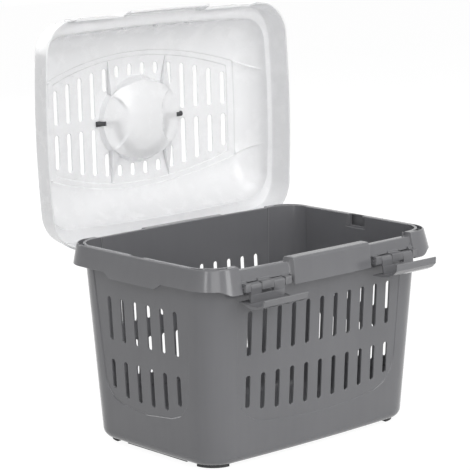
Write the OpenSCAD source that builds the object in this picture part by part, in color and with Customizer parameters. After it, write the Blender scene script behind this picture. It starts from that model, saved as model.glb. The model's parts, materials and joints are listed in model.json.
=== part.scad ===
// Plastic pet keeper: a slatted tub with a hinged, domed lid, two snap latches
// and a folding carry handle.
// Millimetres. X runs along the tub, -Y is the latch side, +Y is the hinge side,
// +Z is up and z = 0 is the floor. The rest pose has the lid stood open on its stop and
// both latches dropped open. The pieces are drawn about the middle of the tub, and then
// moved along Y so that the origin is under the middle of the whole open keeper.

/* [Tub] */
// Outside length of the rim along X
rim_length = 446.6; // [440:0.1:450]
// Outside width of the rim along Y
rim_width = 306; // [302:0.1:308]
// Height of the rim's top face above the floor
rim_height = 288.7; // [286:0.1:292]
// Outside length of the walls where they would meet the floor
base_length = 402.2; // [398:0.1:406]
// Outside width of the walls where they would meet the floor
base_width = 257.4; // [254:0.1:260]
// Clear height under the tub's bottom
floor_gap = 4.3; // [3.5:0.1:5]
// Wall thickness of the tub
tub_wall = 2.6; // [2.2:0.1:3]
// How far the long walls bow outwards at their middle
long_bow = 4; // [2:0.5:5]
// How far the short walls bow outwards at their middle
short_bow = 1.3; // [0.5:0.1:2]
// Depth of the turned-down skirt under the rim
skirt_depth = 36.5; // [34:0.5:38]
// How far the skirt flares out on the front and the sides
skirt_flare = 9; // [7:0.5:10]

/* [Air slots] */
// Width of every slot in the tub
slot_width = 8; // [6:0.5:10]
// Slot pitch along the long walls
long_pitch = 27.4; // [26:0.1:28]
// Slot pitch along the short walls
short_pitch = 27.8; // [26:0.1:28]
// Slots in one row of a long wall
long_count = 11; // [9:2:11]
// Slots in one row of a short wall
short_count = 6; // [4:2:6]
// Top of the upper row
upper_top = 220.6; // [216:0.1:224]
// Bottom of the upper row
upper_bottom = 156.5; // [150:0.1:160]
// Top of the lower row
lower_top = 128.7; // [124:0.1:132]
// Bottom of the lower row at the middle of a wall
lower_bottom = 70.5; // [66:0.1:76]

/* [Lid] */
// Length of the lid along X at its open edge, over the middle
lid_length = 480.2; // [478:0.1:484]
// Width of the lid along Y at its open edge, over the middle
lid_width = 341.8; // [340:0.1:344]
// Depth of the lid's skirt, from its open edge to the shelf that rests on the rim
lid_skirt = 33.4; // [32:0.1:35]
// Height inside the lid at the middle of the crown
crown_height = 85.7; // [80:0.1:90]
// Radius of the crown's arch along X
crown_radius = 1150; // [1000:10:1400]
// Wall thickness of the lid
lid_wall = 2.4; // [2:0.1:2.6]
// Slot pitch in the lid's grille
lid_pitch = 25.4; // [24.5:0.1:25.6]
// Width of the grille's slots
lid_slot_width = 8.5; // [7:0.5:9]
// Angle that the lid leans back past upright when it is open
lid_lean = 1.475; // [0:0.1:5]

/* [Handle] */
// Outer radius of the handle's half ring
bail_radius = 54; // [50:0.5:55]
// Width of the half ring across the grip
bail_width = 12; // [10:0.5:13]
// Thickness of the half ring
bail_thickness = 7; // [6:0.1:7]
// Radius of the handle's pivot pegs
peg_radius = 4; // [3.5:0.1:4]

/* [Latches and hinges] */
// Distance of the latch pins in front of the origin
latch_y = 161; // [160:0.1:162]
// Height of the latch pins
latch_z = 260.5; // [259:0.1:262]
// Distance of the lid hinge pins behind the origin
hinge_y = 170.8; // [170.5:0.1:171.2]
// Height of the lid hinge pins
hinge_z = 264.9; // [264.5:0.1:265.3]
// Radius of every hinge knuckle
knuckle_radius = 5.2; // [5:0.1:5.4]
// Radius of every hinge pin
pin_radius = 1.6; // [1.4:0.05:1.8]
// Radial play of a pin in its bore
pin_play = 0.05; // [0.03:0.01:0.08]
// Droop of the left latch below level
left_droop = 15; // [10:1:16]
// Droop of the right latch below level
right_droop = 0; // [0:1:5]

/* [Hidden] */

tub_grey = [0.46, 0.46, 0.48];
lid_white = [0.95, 0.95, 0.96];
handle_grey = [0.27, 0.27, 0.29];
steel = [0.72, 0.72, 0.72];

// Facets of a rounded corner, of a long side and of a short side
corner_steps = 8;
long_steps = 12;
short_steps = 8;
bore_fn = 48;
tiny = 0.01;

// Tub
top_radius = 40;
bottom_radius = 43.5;
floor_round = 10;
floor_ring_angles = [0, 30, 60, 90];
skirt_bottom = rim_height - skirt_depth;
back_flare = 4;
lip_round = 1.6;
side_skirt_lift = 7.5;
grip_half = 48;
grip_slope = 10;
skirt_turn = 124;
front_turn = 184;
wall_lean_x = (rim_length - 11.7 - base_length) / 2 / rim_height;
wall_lean_y = (rim_width - 19.1 - base_width) / 2 / rim_height;

// Front rim
pocket_width = 28;
pocket_depth = 19;
pocket_reach = 7;
rail_half = 64;
rail_bottom = 1.4;
rail_inset = 15.5;
rail_width = 3.5;
block_half = 75;
block_side_slope = 4;
block_top_y = 162;
block_bottom_y = 164.5;
block_bevel = 3.5;
zone_inner = 79;
zone_outer = 170;
zone_recess = 3.5;
zone_drop = 5.8;
latch_zone_bottom = 266.4;

// Knuckles along X, counted from the middle of the object
knuckle_edges = [84, 96, 117, 140, 160, 169.6];
knuckle_gap = 0.35;
latch_arm = 11;
latch_rise = 4;
hinge_arm = 18;
pin_half = (knuckle_edges[5] - knuckle_edges[0]) / 2 - 0.6;
pin_middle = (knuckle_edges[5] + knuckle_edges[0]) / 2;

// Latch
latch_inner = 87;
latch_outer = 169;
latch_wall = 2.4;

// Lid
lid_seat = rim_height + 0.3 - lid_skirt;
lid_bow = 4;
lid_radius = 55;
lid_taper = 5.3;
root_x = 216;
root_y = 138;
root_radius = 40;
lens_x = 190;
lens_y = 71.3;
lens_bow = 28.7;
lens_radius = 18;
lens_end_bow = 3;
dome_power = 1.8;
dome_steps = [0.06, 0.16, 0.32, 0.52, 0.76, 1];
notch_recess = 7.5;
notch_lift = 14;
notch_inner = 80;
notch_outer = 172;
catch_top = 45;
catch_step = 3.5;
slot_reach = 85;
slot_fall = 27;
slot_span = 165;
grille_bar = 7.5;

// Dish that the handle folds into
dish_radius = 58.6;
dish_depth = 22.6;
ear_radius = 78;
ear_depth = 10.8;
ear_half = 52;
leaf_radius = 107;
leaf_x = 41;
axis_below_crown = 6.6;
window_inner = 61;
window_outer = 77;
window_half = 5;
boss_outer = 87;
boss_half = 8;

// Feet
foot_centre_x = base_length / 2 - bottom_radius;
foot_centre_y = base_width / 2 - bottom_radius;
foot_outer = 32;
foot_width = 8;
stud_radius = 2.5;

// Furthest reach of a latch from its pin, and of the open keeper to the front and back
latch_reach = 43.4;
front_reach = latch_y + latch_reach * cos(right_droop);
crown_top = lid_seat + crown_height + lid_wall;
back_reach = hinge_y + sin(lid_lean) * (hinge_y + lens_y + lens_bow) + cos(lid_lean) * (crown_top - hinge_z);
rest_middle_y = (back_reach - front_reach) / 2;
handle_z = crown_top - axis_below_crown;

// ---------- shapes shared by the pieces ----------

function lerp(a, b, t) = a * (1 - t) + b * t;

function arc(cx, cy, r, from, to, n) =
    [for (i = [0:n]) [cx + r * cos(lerp(from, to, i / n)), cy + r * sin(lerp(from, to, i / n))]];

// Rounded rectangle with bowed sides, as a list that starts at the middle of the +X
// side and runs anticlockwise. a and b are half sizes at the corners, r is the corner
// radius, and bow_x and bow_y are added at the middles of the sides. shift moves it in Y.
function outline(a, b, r, bow_x, bow_y, shift = 0) =
    let (sx = a - r, sy = b - r)
    let (right_up = [for (i = [0:short_steps / 2 - 1])
             let (y = sy * 2 * i / short_steps) [a + bow_x * (1 - y * y / (sy * sy)), y]])
    let (top = [for (i = [1:long_steps - 1])
             let (x = sx * (1 - 2 * i / long_steps)) [x, b + bow_y * (1 - x * x / (sx * sx))]])
    let (half = concat(right_up, arc(sx, sy, r, 0, 90, corner_steps), top,
             arc(-sx, sy, r, 90, 180, corner_steps),
             [for (i = [short_steps / 2 - 1:-1:0]) [-right_up[i][0], right_up[i][1]]]))
    let (n = len(half))
    [for (i = [0:2 * n - 3]) i < n ? [half[i][0], half[i][1] + shift]
                                   : [half[2 * n - 2 - i][0], shift - half[2 * n - 2 - i][1]]];

function raise(points, z) = [for (p = points) [p[0], p[1], z]];

// Solid through a stack of rings that all have the same number of points. The top ring
// is closed by strips that run across Y, so it may be arched along X.
module loft(rings) {
    n = len(rings[0]);
    last = len(rings) - 1;
    points = [for (ring = rings) each ring];
    sides = [for (k = [0:last - 1]) for (i = [0:n - 1])
        [k * n + i, (k + 1) * n + i, (k + 1) * n + (i + 1) % n, k * n + (i + 1) % n]];
    bottom = [[for (i = [0:n - 1]) i]];
    top_strips = [for (i = [0:n / 2 - 1])
        i == 0 ? [last * n, last * n + n - 1, last * n + 1]
        : i == n / 2 - 1 ? [last * n + i, last * n + i + 2, last * n + i + 1]
        : [last * n + i, last * n + n - i, last * n + n - i - 1, last * n + i + 1]];
    polyhedron(points, concat(sides, bottom, top_strips), convexity = 8);
}

// Slot with round ends, standing on the XY plane and running along Y from low to high
module slot(width, low, high, depth) {
    r = width / 2;
    linear_extrude(depth) union() {
        translate([-r, low + r]) square([width, high - low - width]);
        translate([0, low + r]) circle(r, $fn = bore_fn);
        translate([0, high - r]) circle(r, $fn = bore_fn);
    }
}

module mirrored(axis) {
    children();
    mirror(axis) children();
}

// Cylinder along X between two distances from the middle of the object
module rod_x(from, to, r) {
    translate([from, 0, 0]) rotate([0, 90, 0]) cylinder(h = to - from, r = r, $fn = bore_fn);
}

// Moves a finished piece so that the open keeper stands over the origin
module settled() {
    translate([0, -rest_middle_y, 0]) children();
}

// Turns a piece from the closed lid's place to the open one
module opened() {
    translate([0, hinge_y, hinge_z]) rotate([-90 - lid_lean, 0, 0])
        translate([0, -hinge_y, -hinge_z]) children();
}

// ---------- tub ----------

function wall_ring(z, inset) =
    let (r = lerp(bottom_radius, top_radius, z / rim_height))
    raise(outline(base_length / 2 + wall_lean_x * z - inset, base_width / 2 + wall_lean_y * z - inset,
                  r - inset, short_bow, long_bow), z);

function floor_rings(inset, z0) =
    [for (t = floor_ring_angles)
        wall_ring(z0 + floor_round * (1 - cos(t)), inset + floor_round * (1 - sin(t)))];

module wall_outside() {
    loft(concat(floor_rings(0, floor_gap), [wall_ring(rim_height, 0)]));
}

module cabin() {
    mouth = wall_ring(rim_height, tub_wall);
    loft(concat(floor_rings(tub_wall, floor_gap + tub_wall), [mouth, raise(mouth, rim_height + 1)]));
}

// The rim's skirt at a height: it flares from the lip to its lower edge
function skirt_ring(z, inset) =
    let (t = (rim_height - z) / skirt_depth)
    let (front = skirt_flare * t, back = back_flare * t)
    raise(outline(rim_length / 2 + front - inset, rim_width / 2 + (front + back) / 2 - inset,
                  top_radius + (front + back) / 2 - inset, short_bow, long_bow,
                  (back - front) / 2), z);

module rim_shell(recess, drop) {
    top = rim_height - drop;
    difference() {
        loft([skirt_ring(skirt_bottom, recess), skirt_ring(top - lip_round, recess),
              raise(skirt_ring(top, recess + lip_round), top)]);
        loft([skirt_ring(skirt_bottom - 1, recess + tub_wall), skirt_ring(top - tub_wall, recess + tub_wall)]);
        cabin();
    }
}

module zone_boxes(side, inner, outer) {
    for (x = [inner, -outer])
        translate([x, side > 0 ? rim_width / 2 - 25 : -rim_width / 2 - 25, skirt_bottom - 2])
            cube([outer - inner, 50, skirt_depth + 4]);
}

// The skirt is deep along the front, between its corners, and over the finger grip in the
// middle of each side, and shallower everywhere else
module side_skirt_trim() {
    low = skirt_bottom - 2;
    high = skirt_bottom + side_skirt_lift;
    rotate([90, 0, 90]) translate([0, 0, -rim_length]) linear_extrude(2 * rim_length) {
        polygon([[grip_half, low], [grip_half + grip_slope, high], [rim_width, high], [rim_width, low]]);
        polygon([[-grip_half, low], [-grip_half - grip_slope, high],
                 [-skirt_turn, high], [-skirt_turn - grip_slope, low]]);
    }
    mirrored([1, 0, 0]) translate([0, -skirt_turn, 0]) rotate([90, 0, 0]) linear_extrude(rim_width)
        polygon([[front_turn, low], [front_turn + 2 * grip_slope, high], [rim_length, high], [rim_length, low]]);
}

// Pocket in the rim at the middle of each short side, which takes a tab of the lid
module rim_pockets(grow) {
    mirrored([1, 0, 0])
        translate([rim_length / 2 - 10 - 2 * grow, -pocket_width / 2 - grow, rim_height - pocket_depth - grow])
            cube([pocket_reach + 3 * grow, pocket_width + 2 * grow, pocket_depth + (grow > 0 ? grow : 2)]);
}

// Proud block in the middle of the front rim, open underneath
module block_form(inset) {
    y_back = rim_width / 2 - 8;
    half = block_half - inset;
    intersection() {
        rotate([90, 0, 90]) translate([0, 0, -rim_length / 2]) linear_extrude(rim_length) polygon([
            [-y_back, skirt_bottom - inset], [-block_bottom_y + inset, skirt_bottom - inset],
            [-block_top_y + inset, rim_height - block_bevel - inset],
            [-block_top_y + block_bevel + inset, rim_height - inset], [-y_back, rim_height - inset]]);
        translate([0, 0, skirt_bottom - 5]) linear_extrude(skirt_depth + 10) polygon([
            [-half - block_side_slope, -y_back + 1], [-half, -block_bottom_y],
            [half, -block_bottom_y], [half + block_side_slope, -y_back + 1]]);
    }
}

// Knuckles on the tub: the first, third and fifth of five. Each has an arm to the rim,
// and a riser behind the arm that joins it to the skirt above.
module tub_knuckles(y, z, reach, rise) {
    arm_half = knuckle_radius - 0.2;
    riser = reach - knuckle_radius;
    for (k = [0, 2, 4]) {
        from = knuckle_edges[k] + (k == 0 ? 0 : knuckle_gap);
        to = knuckle_edges[k + 1] - (k == 4 ? 0 : knuckle_gap);
        translate([0, y, z]) rod_x(from, to, knuckle_radius);
        translate([from, y, z - arm_half]) mirror([0, y > 0 ? 1 : 0, 0]) {
            cube([to - from, reach, 2 * arm_half]);
            translate([0, reach - riser, 0]) cube([to - from, riser, 2 * arm_half + rise]);
        }
    }
}

module pin_bore(y, z) {
    translate([0, y, z]) rod_x(knuckle_edges[0] - 0.3, knuckle_edges[5] + 0.3, pin_radius + pin_play);
}

// One wall's two rows of slots, cut along Y and placed by the caller
module slot_rows(count, pitch, arc_depth) {
    middle = (count - 1) / 2;
    for (i = [0:count - 1]) {
        x = (i - middle) * pitch;
        edge = abs(i - middle) / middle;
        rise = arc_depth * edge * edge + (edge == 1 ? 5 : 0);
        translate([x, 0, 0]) slot(slot_width, upper_bottom, upper_top, 60);
        translate([x, 0, 0]) slot(slot_width, lower_bottom + rise, lower_top, 60);
    }
}

module tub_slots() {
    mirrored([0, 1, 0]) translate([0, -base_width / 2 + 25, 0]) rotate([90, 0, 0])
        slot_rows(long_count, long_pitch, 8);
    mirrored([1, 0, 0]) translate([-base_length / 2 + 25, 0, 0]) rotate([90, 0, -90])
        slot_rows(short_count, short_pitch, 7);
}

// Low rail under each short wall that the tub slides on
// The wall is as low as the rim along the two front zones
module front_zone_notches() {
    for (x = [zone_inner, -zone_outer])
        translate([x, -rim_width / 2 - 5, rim_height - zone_drop])
            cube([zone_outer - zone_inner, 30, zone_drop + 1]);
}

module skid_rails() {
    mirrored([1, 0, 0]) translate([base_length / 2 - rail_inset, -rail_half, rail_bottom])
        cube([rail_width, 2 * rail_half, floor_gap]);
}

module tub() {
    color(tub_grey) settled() difference() {
        union() {
            difference() {
                wall_outside();
                cabin();
                tub_slots();
                front_zone_notches();
            }
            difference() {
                rim_shell(0, 0);
                side_skirt_trim();
                zone_boxes(-1, zone_inner, zone_outer);
                zone_boxes(1, zone_inner, zone_outer);
            }
            intersection() {
                rim_shell(zone_recess, zone_drop);
                union() {
                    difference() {
                        zone_boxes(-1, zone_inner - tiny, zone_outer + tiny);
                        translate([-rim_length, -rim_width, 0]) cube([2 * rim_length, rim_width, latch_zone_bottom]);
                    }
                    zone_boxes(1, zone_inner - tiny, zone_outer + tiny);
                }
            }
            difference() {
                block_form(0);
                block_form(tub_wall);
                wall_outside();
            }
            for (side = [0, 1]) mirror([side, 0, 0]) {
                tub_knuckles(-latch_y, latch_z, latch_arm, latch_rise);
                tub_knuckles(hinge_y, hinge_z, hinge_arm, 0);
            }
            skid_rails();
            difference() {
                rim_pockets(2);
                cabin();
            }
        }
        rim_pockets(0);
        for (side = [0, 1]) mirror([side, 0, 0]) {
            pin_bore(-latch_y, latch_z);
            pin_bore(hinge_y, hinge_z);
        }
        for (x = [-1, 1]) for (y = [-1, 1]) translate([x * foot_centre_x, y * foot_centre_y, 0])
            foot_studs(x, y, 0.05);
    }
}

// ---------- feet ----------

module foot_studs(x, y, play) {
    middle = foot_outer - foot_width / 2;
    for (t = [20, 70])
        translate([x * middle * cos(t), y * middle * sin(t), floor_gap - 1])
            cylinder(h = 4.6, r = stud_radius + play, $fn = bore_fn);
}

// Quarter ring that follows a corner of the tub, with two studs pressed into the floor
module foot(x, y) {
    color(handle_grey) settled() translate([x * foot_centre_x, y * foot_centre_y, 0]) union() {
        intersection() {
            difference() {
                cylinder(h = floor_gap, r = foot_outer, $fn = 96);
                translate([0, 0, -1]) cylinder(h = floor_gap + 2, r = foot_outer - foot_width, $fn = 96);
            }
            translate([x > 0 ? 0 : -foot_outer, y > 0 ? 0 : -foot_outer, -1])
                cube([foot_outer, foot_outer, floor_gap + 2]);
        }
        foot_studs(x, y, 0);
    }
}

module foot_front_left() { foot(-1, -1); }
module foot_front_right() { foot(1, -1); }
module foot_back_left() { foot(-1, 1); }
module foot_back_right() { foot(1, 1); }

// ---------- lid, drawn closed and then turned open ----------

function crown(x) = lid_seat + crown_height - crown_radius + sqrt(crown_radius * crown_radius - x * x);

function lid_ring(depth, inset) =
    let (t = depth / lid_skirt)
    raise(outline(lid_length / 2 - lid_bow - lid_taper * t - inset, lid_width / 2 - lid_bow - lid_taper * t - inset,
                  lid_radius - 0.6 * lid_taper * t - inset, lid_bow, lid_bow), lid_seat + depth);

function dome_ring(t, thick) =
    let (root = outline(root_x + thick, root_y + thick, root_radius + thick, lid_bow, lid_bow))
    let (lens = outline(lens_x, lens_y, lens_radius, lens_end_bow, lens_bow))
    let (h = pow(1 - pow(1 - t, dome_power), 1 / dome_power))
    [for (i = [0:len(root) - 1])
        let (p = lerp(root[i], lens[i], t))
        [p[0], p[1], lerp(lid_seat + lid_skirt, crown(lens[i][0]), h) + thick]];

module lid_outside() {
    loft(concat([lid_ring(0, 0), lid_ring(lid_skirt - 2, 0),
                 raise(lid_ring(lid_skirt, 0.8), lid_seat + lid_skirt + lid_wall - 1.6),
                 raise(lid_ring(lid_skirt, 2.6), lid_seat + lid_skirt + lid_wall),
                 dome_ring(0, lid_wall)],
                [for (t = dome_steps) dome_ring(t, lid_wall)]));
}

module lid_inside() {
    loft(concat([raise(lid_ring(0, lid_wall), lid_seat - 1), lid_ring(lid_skirt, lid_wall), dome_ring(0, 0)],
                [for (t = dome_steps) dome_ring(t, 0)]));
}

// The hollow that the handle folds into, seen from above: a round drum, cut back by
// an arc on each side, and a wider and shallower ear on each side for the pivots
module dish_form(grow) {
    top = crown_top + 5;
    floor_z = crown_top - dish_depth - grow;
    ear_z = crown_top - ear_depth - grow;
    difference() {
        translate([0, 0, floor_z]) cylinder(h = top - floor_z, r = dish_radius + grow, $fn = 96);
        mirrored([1, 0, 0]) translate([leaf_x + leaf_radius, 0, floor_z - 1])
            cylinder(h = ear_z - floor_z + 1, r = leaf_radius - grow, $fn = 144);
    }
    intersection() {
        translate([0, 0, ear_z]) cylinder(h = top - ear_z, r = ear_radius + grow, $fn = 96);
        translate([-100, -ear_half - grow, ear_z]) cube([200, 2 * (ear_half + grow), top - ear_z]);
    }
}

// Keeps what lies under the crown's arch
module under_crown() {
    intersection() {
        children();
        translate([0, lid_width / 2, crown_top - 0.1 - crown_radius]) rotate([90, 0, 0])
            cylinder(h = lid_width, r = crown_radius, $fn = 720);
    }
}

// Boss that holds a pivot peg at each side of the dish
module pivot_bosses() {
    mirrored([1, 0, 0]) translate([window_inner - 4, -boss_half, handle_z - boss_half])
        cube([boss_outer - window_inner + 4, 2 * boss_half, 2 * boss_half]);
}

module lid_slots() {
    for (side = [0, 1]) mirror([0, side, 0])
        for (i = [-7:6]) {
            x = (i + 0.5) * lid_pitch;
            far = slot_reach - slot_fall * x * x / (slot_span * slot_span);
            clear = abs(x) < 60 ? dish_radius + lid_wall + 5
                  : abs(x) < 80 ? ear_half + lid_wall + 3 : grille_bar;
            translate([x, 0, lid_seat + crown_height - 20]) slot(lid_slot_width, clear, far, 40);
        }
}

// The lid's skirt is cut away round the front knuckles, and set back behind the latches
module latch_notches() {
    z = lid_seat - 2;
    mirrored([1, 0, 0]) {
        translate([notch_inner, -lid_width / 2 - 5, z])
            cube([notch_outer - notch_inner, 40, notch_lift + 2]);
        translate([notch_inner, -lid_width / 2 - 5, z])
            cube([notch_outer - notch_inner, 5 + notch_recess, lid_skirt + lid_wall + 4]);
    }
}

// Set-back wall with the catch that a latch hooks over
module latch_catches() {
    face = lid_width / 2 - notch_recess;
    mirrored([1, 0, 0]) translate([notch_inner - lid_wall, -face, lid_seat + notch_lift]) {
        cube([notch_outer - notch_inner + 2 * lid_wall, lid_wall, lid_skirt - notch_lift + lid_wall]);
        translate([7, 0, lid_skirt - notch_lift])
            cube([notch_outer - notch_inner - 10, catch_step, catch_top - lid_skirt]);
        for (x = [0, notch_outer - notch_inner + lid_wall])
            translate([x, -catch_step, 0]) cube([lid_wall, catch_step + lid_wall, lid_skirt - notch_lift]);
    }
}

// Room for the tub's hinge knuckles
module hinge_notches() {
    for (side = [0, 1]) mirror([side, 0, 0]) for (k = [0, 2, 4])
        translate([knuckle_edges[k] - 1, lid_width / 2 - 22, lid_seat - 2])
            cube([knuckle_edges[k + 1] - knuckle_edges[k] + 2, 30, hinge_z + knuckle_radius + 2 - lid_seat + 2]);
}

module lid_knuckles() {
    for (side = [0, 1]) mirror([side, 0, 0]) for (k = [1, 3]) {
        from = knuckle_edges[k] + knuckle_gap;
        to = knuckle_edges[k + 1] - knuckle_gap;
        translate([0, hinge_y, hinge_z]) rod_x(from, to, knuckle_radius);
    }
}

module lid() {
    color(lid_white) settled() opened() difference() {
        union() {
            difference() {
                lid_outside();
                lid_inside();
                latch_notches();
                hinge_notches();
            }
            under_crown() dish_form(lid_wall);
            under_crown() pivot_bosses();
            latch_catches();
            lid_knuckles();
        }
        dish_form(0);
        lid_slots();
        for (side = [0, 1]) mirror([side, 0, 0]) {
            pin_bore(hinge_y, hinge_z);
            translate([0, 0, handle_z])
                rod_x(window_inner - 6, boss_outer - 2, peg_radius + pin_play);
            translate([window_inner, -window_half, handle_z - 20])
                cube([window_outer - window_inner, 2 * window_half, 20]);
        }
    }
}

// ---------- handle ----------

module carry_handle() {
    peg_end = boss_outer - 2.6;
    inner = bail_radius - bail_width;
    color(handle_grey) settled() opened() translate([0, 0, handle_z]) rotate([lid_lean, 0, 0]) union() {
        intersection() {
            translate([0, 0, -bail_thickness / 2]) difference() {
                cylinder(h = bail_thickness, r = bail_radius, $fn = 96);
                translate([0, 0, -1]) cylinder(h = bail_thickness + 2, r = inner, $fn = 96);
            }
            translate([-bail_radius, 0, -bail_thickness]) cube([2 * bail_radius, bail_radius, 2 * bail_thickness]);
        }
        mirrored([1, 0, 0]) rod_x(inner + 0.5, peg_end, peg_radius);
    }
}

// ---------- latches and pins ----------

// Cross-section of a latch about its pin: u is outwards and w is up, with the latch level
module latch_section() {
    t = latch_wall;
    polygon([
        [-2.4, 0], [-3.6, -17], [-1.5, -20.6], [3, -22], [17, -22], [27, -20.2], [36, -15.8],
        [42.6, -9.6], [latch_reach, -0.4], [41.2, 0], [40.6, -8], [34.6, -13.6], [26, -17.8],
        [17, -22 + t], [4, -22 + t], [0.4, -18.4], [-1.2, -15.6], [1.2, 0]]);
}

module latch(side, droop) {
    color(tub_grey) settled() translate([0, -latch_y, latch_z]) rotate([droop, 0, 0]) difference() {
        union() {
            mirror([side < 0 ? 1 : 0, 0, 0]) {
                intersection() {
                    translate([latch_inner, 0, 0]) rotate([90, 0, 90])
                        linear_extrude(latch_outer - latch_inner) mirror([1, 0]) latch_section();
                    difference() {
                        translate([latch_inner - 1, -60, -40]) cube([latch_outer - latch_inner + 2, 80, 80]);
                        for (k = [0, 2, 4])
                            translate([knuckle_edges[k] - 0.6, -knuckle_radius - 0.8, -knuckle_radius - 0.8])
                                cube([knuckle_edges[k + 1] - knuckle_edges[k] + 1.2, 20, 20]);
                    }
                }
                for (k = [1, 3])
                    rod_x(knuckle_edges[k] + knuckle_gap, knuckle_edges[k + 1] - knuckle_gap, knuckle_radius);
            }
        }
        mirror([side < 0 ? 1 : 0, 0, 0])
            rod_x(knuckle_edges[0], knuckle_edges[5], pin_radius + pin_play);
    }
}

module latch_left() { latch(-1, left_droop); }
module latch_right() { latch(1, right_droop); }

module hinge_pin(side, y, z) {
    color(steel) settled() translate([side * pin_middle, y, z]) rod_x(-pin_half, pin_half, pin_radius);
}

module latch_pin_left() { hinge_pin(-1, -latch_y, latch_z); }
module latch_pin_right() { hinge_pin(1, -latch_y, latch_z); }
module lid_hinge_pin_left() { hinge_pin(-1, hinge_y, hinge_z); }
module lid_hinge_pin_right() { hinge_pin(1, hinge_y, hinge_z); }

tub();
lid();
latch_left();
latch_right();
latch_pin_left();
latch_pin_right();
lid_hinge_pin_left();
lid_hinge_pin_right();
carry_handle();
foot_front_left();
foot_front_right();
foot_back_left();
foot_back_right();
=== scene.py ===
# %% [markdown]
# A plastic pet keeper, standing open
#
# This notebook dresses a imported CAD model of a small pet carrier: a slotted grey tub, a glossy
# white domed lid that stands up on its rear hinge, two latches, a folding handle and four feet.
# The CAD model fixes every size and every joint. Here each large moulding is modelled again as
# one thin sheet of plastic with rounded edges, and every surface gets its finish. All the
# shapes are worked out in millimetres and turned into metres at the end.

# %% Load the CAD frame
import json
import math

import bmesh
import bpy
from mathutils import Matrix, Vector


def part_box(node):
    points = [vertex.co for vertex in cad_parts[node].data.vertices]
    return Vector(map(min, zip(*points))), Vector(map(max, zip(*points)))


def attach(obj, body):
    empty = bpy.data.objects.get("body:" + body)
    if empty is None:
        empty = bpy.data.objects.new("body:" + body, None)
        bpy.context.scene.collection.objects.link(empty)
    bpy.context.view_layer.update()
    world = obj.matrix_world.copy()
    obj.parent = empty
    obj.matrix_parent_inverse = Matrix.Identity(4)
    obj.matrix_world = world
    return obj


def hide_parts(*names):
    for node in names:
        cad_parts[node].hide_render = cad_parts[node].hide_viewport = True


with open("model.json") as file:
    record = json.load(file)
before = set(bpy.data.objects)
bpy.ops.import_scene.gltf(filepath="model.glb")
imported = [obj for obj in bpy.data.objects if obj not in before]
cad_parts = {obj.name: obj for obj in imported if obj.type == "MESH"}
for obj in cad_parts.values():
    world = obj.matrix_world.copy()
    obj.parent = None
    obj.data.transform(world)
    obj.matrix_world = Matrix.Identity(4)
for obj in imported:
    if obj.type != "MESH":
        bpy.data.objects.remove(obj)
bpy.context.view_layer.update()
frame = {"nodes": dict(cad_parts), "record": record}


def add_object(name, data):
    """A new object in the scene, at the origin."""
    made = bpy.data.objects.new(name, data)
    bpy.context.scene.collection.objects.link(made)
    return made


def mesh_object(name, mesh, material):
    """A new object with the faces of a bmesh, which is freed, and one material."""
    data = bpy.data.meshes.new(name)
    mesh.to_mesh(data)
    mesh.free()
    data.materials.append(material)
    return add_object(name, data)


# %% [markdown]
# Where things are
#
# The CAD pins say where the hinges turn, and the feet say where the middle of the tub is. The
# tub is drawn about its own middle, so one shift along Y takes it to its place. The lid is
# drawn shut, because a lid is easiest to describe lying on its tub, and then it is turned open
# about the hinge pins by the whole range of its joint.

# %% Axes and places
MM = 0.001


def centre_mm(*nodes):
    """Middle of the box round some CAD nodes, in millimetres."""
    boxes = [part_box(node) for node in nodes]
    low = [min(box[0][axis] for box in boxes) for axis in range(3)]
    high = [max(box[1][axis] for box in boxes) for axis in range(3)]
    return Vector([(a + b) / 2 / MM for a, b in zip(low, high)])


tub_middle_y = centre_mm("foot_front_left", "foot_back_right").y
to_place = Matrix.Translation((0, tub_middle_y, 0))
latch_axis = centre_mm("latch_pin_left", "latch_pin_right") - Vector((0, tub_middle_y, 0))
hinge_axis = centre_mm("lid_hinge_pin_left", "lid_hinge_pin_right") - Vector((0, tub_middle_y, 0))
joint_ranges = {joint["name"]: joint["range_deg"] for joint in frame["record"]["behaviour"]["joints"]}
lid_swing = joint_ranges["lid_hinge"][1]


def turned_about(axis, degrees):
    """A turn about a line along X that goes through axis, on the way to the tub's place."""
    return to_place @ (Matrix.Translation(axis) @ Matrix.Rotation(math.radians(degrees), 4, "X")
                       @ Matrix.Translation(-axis))


to_open = turned_about(hinge_axis, -lid_swing)
print("latch pins at", latch_axis, "lid pins at", hinge_axis, "lid swings", lid_swing)

# %% [markdown]
# The camera
#
# The keeper is seen from its front left corner and from a little above, through a long lens,
# so its sides stay almost parallel. The camera's three axes are worked out from how far it
# turns, dips and rolls, and its shift moves the picture by part of a pixel only.

# %% Camera
PICTURE = 470
camera_place = Vector((-2090.1, tub_middle_y - 2216.2, 883.7)) * MM
camera_turn = math.radians(42.857)
camera_dip = math.radians(11.071)
camera_roll = math.radians(-0.57)
focal_pixels = 2146.29
picture_middle = (235.2, 235.377)

lens = bpy.data.cameras.new("camera")
camera = add_object("camera", lens)
bpy.context.scene.camera = camera
lens.sensor_width = 36
lens.lens = focal_pixels / PICTURE * lens.sensor_width
lens.shift_x = (PICTURE / 2 - picture_middle[0]) / PICTURE
lens.shift_y = (picture_middle[1] - PICTURE / 2) / PICTURE
lens.clip_end = 30
forward = Vector((math.sin(camera_turn) * math.cos(camera_dip),
                  math.cos(camera_turn) * math.cos(camera_dip), -math.sin(camera_dip)))
level = Vector((math.cos(camera_turn), -math.sin(camera_turn), 0))
upward = level.cross(forward)
right = level * math.cos(camera_roll) + upward * math.sin(camera_roll)
up = upward * math.cos(camera_roll) - level * math.sin(camera_roll)
pose = Matrix((right, up, -forward)).transposed().to_4x4()
pose.translation = camera_place
camera.matrix_world = pose
print("lens", round(lens.lens, 1), "mm")

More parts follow.
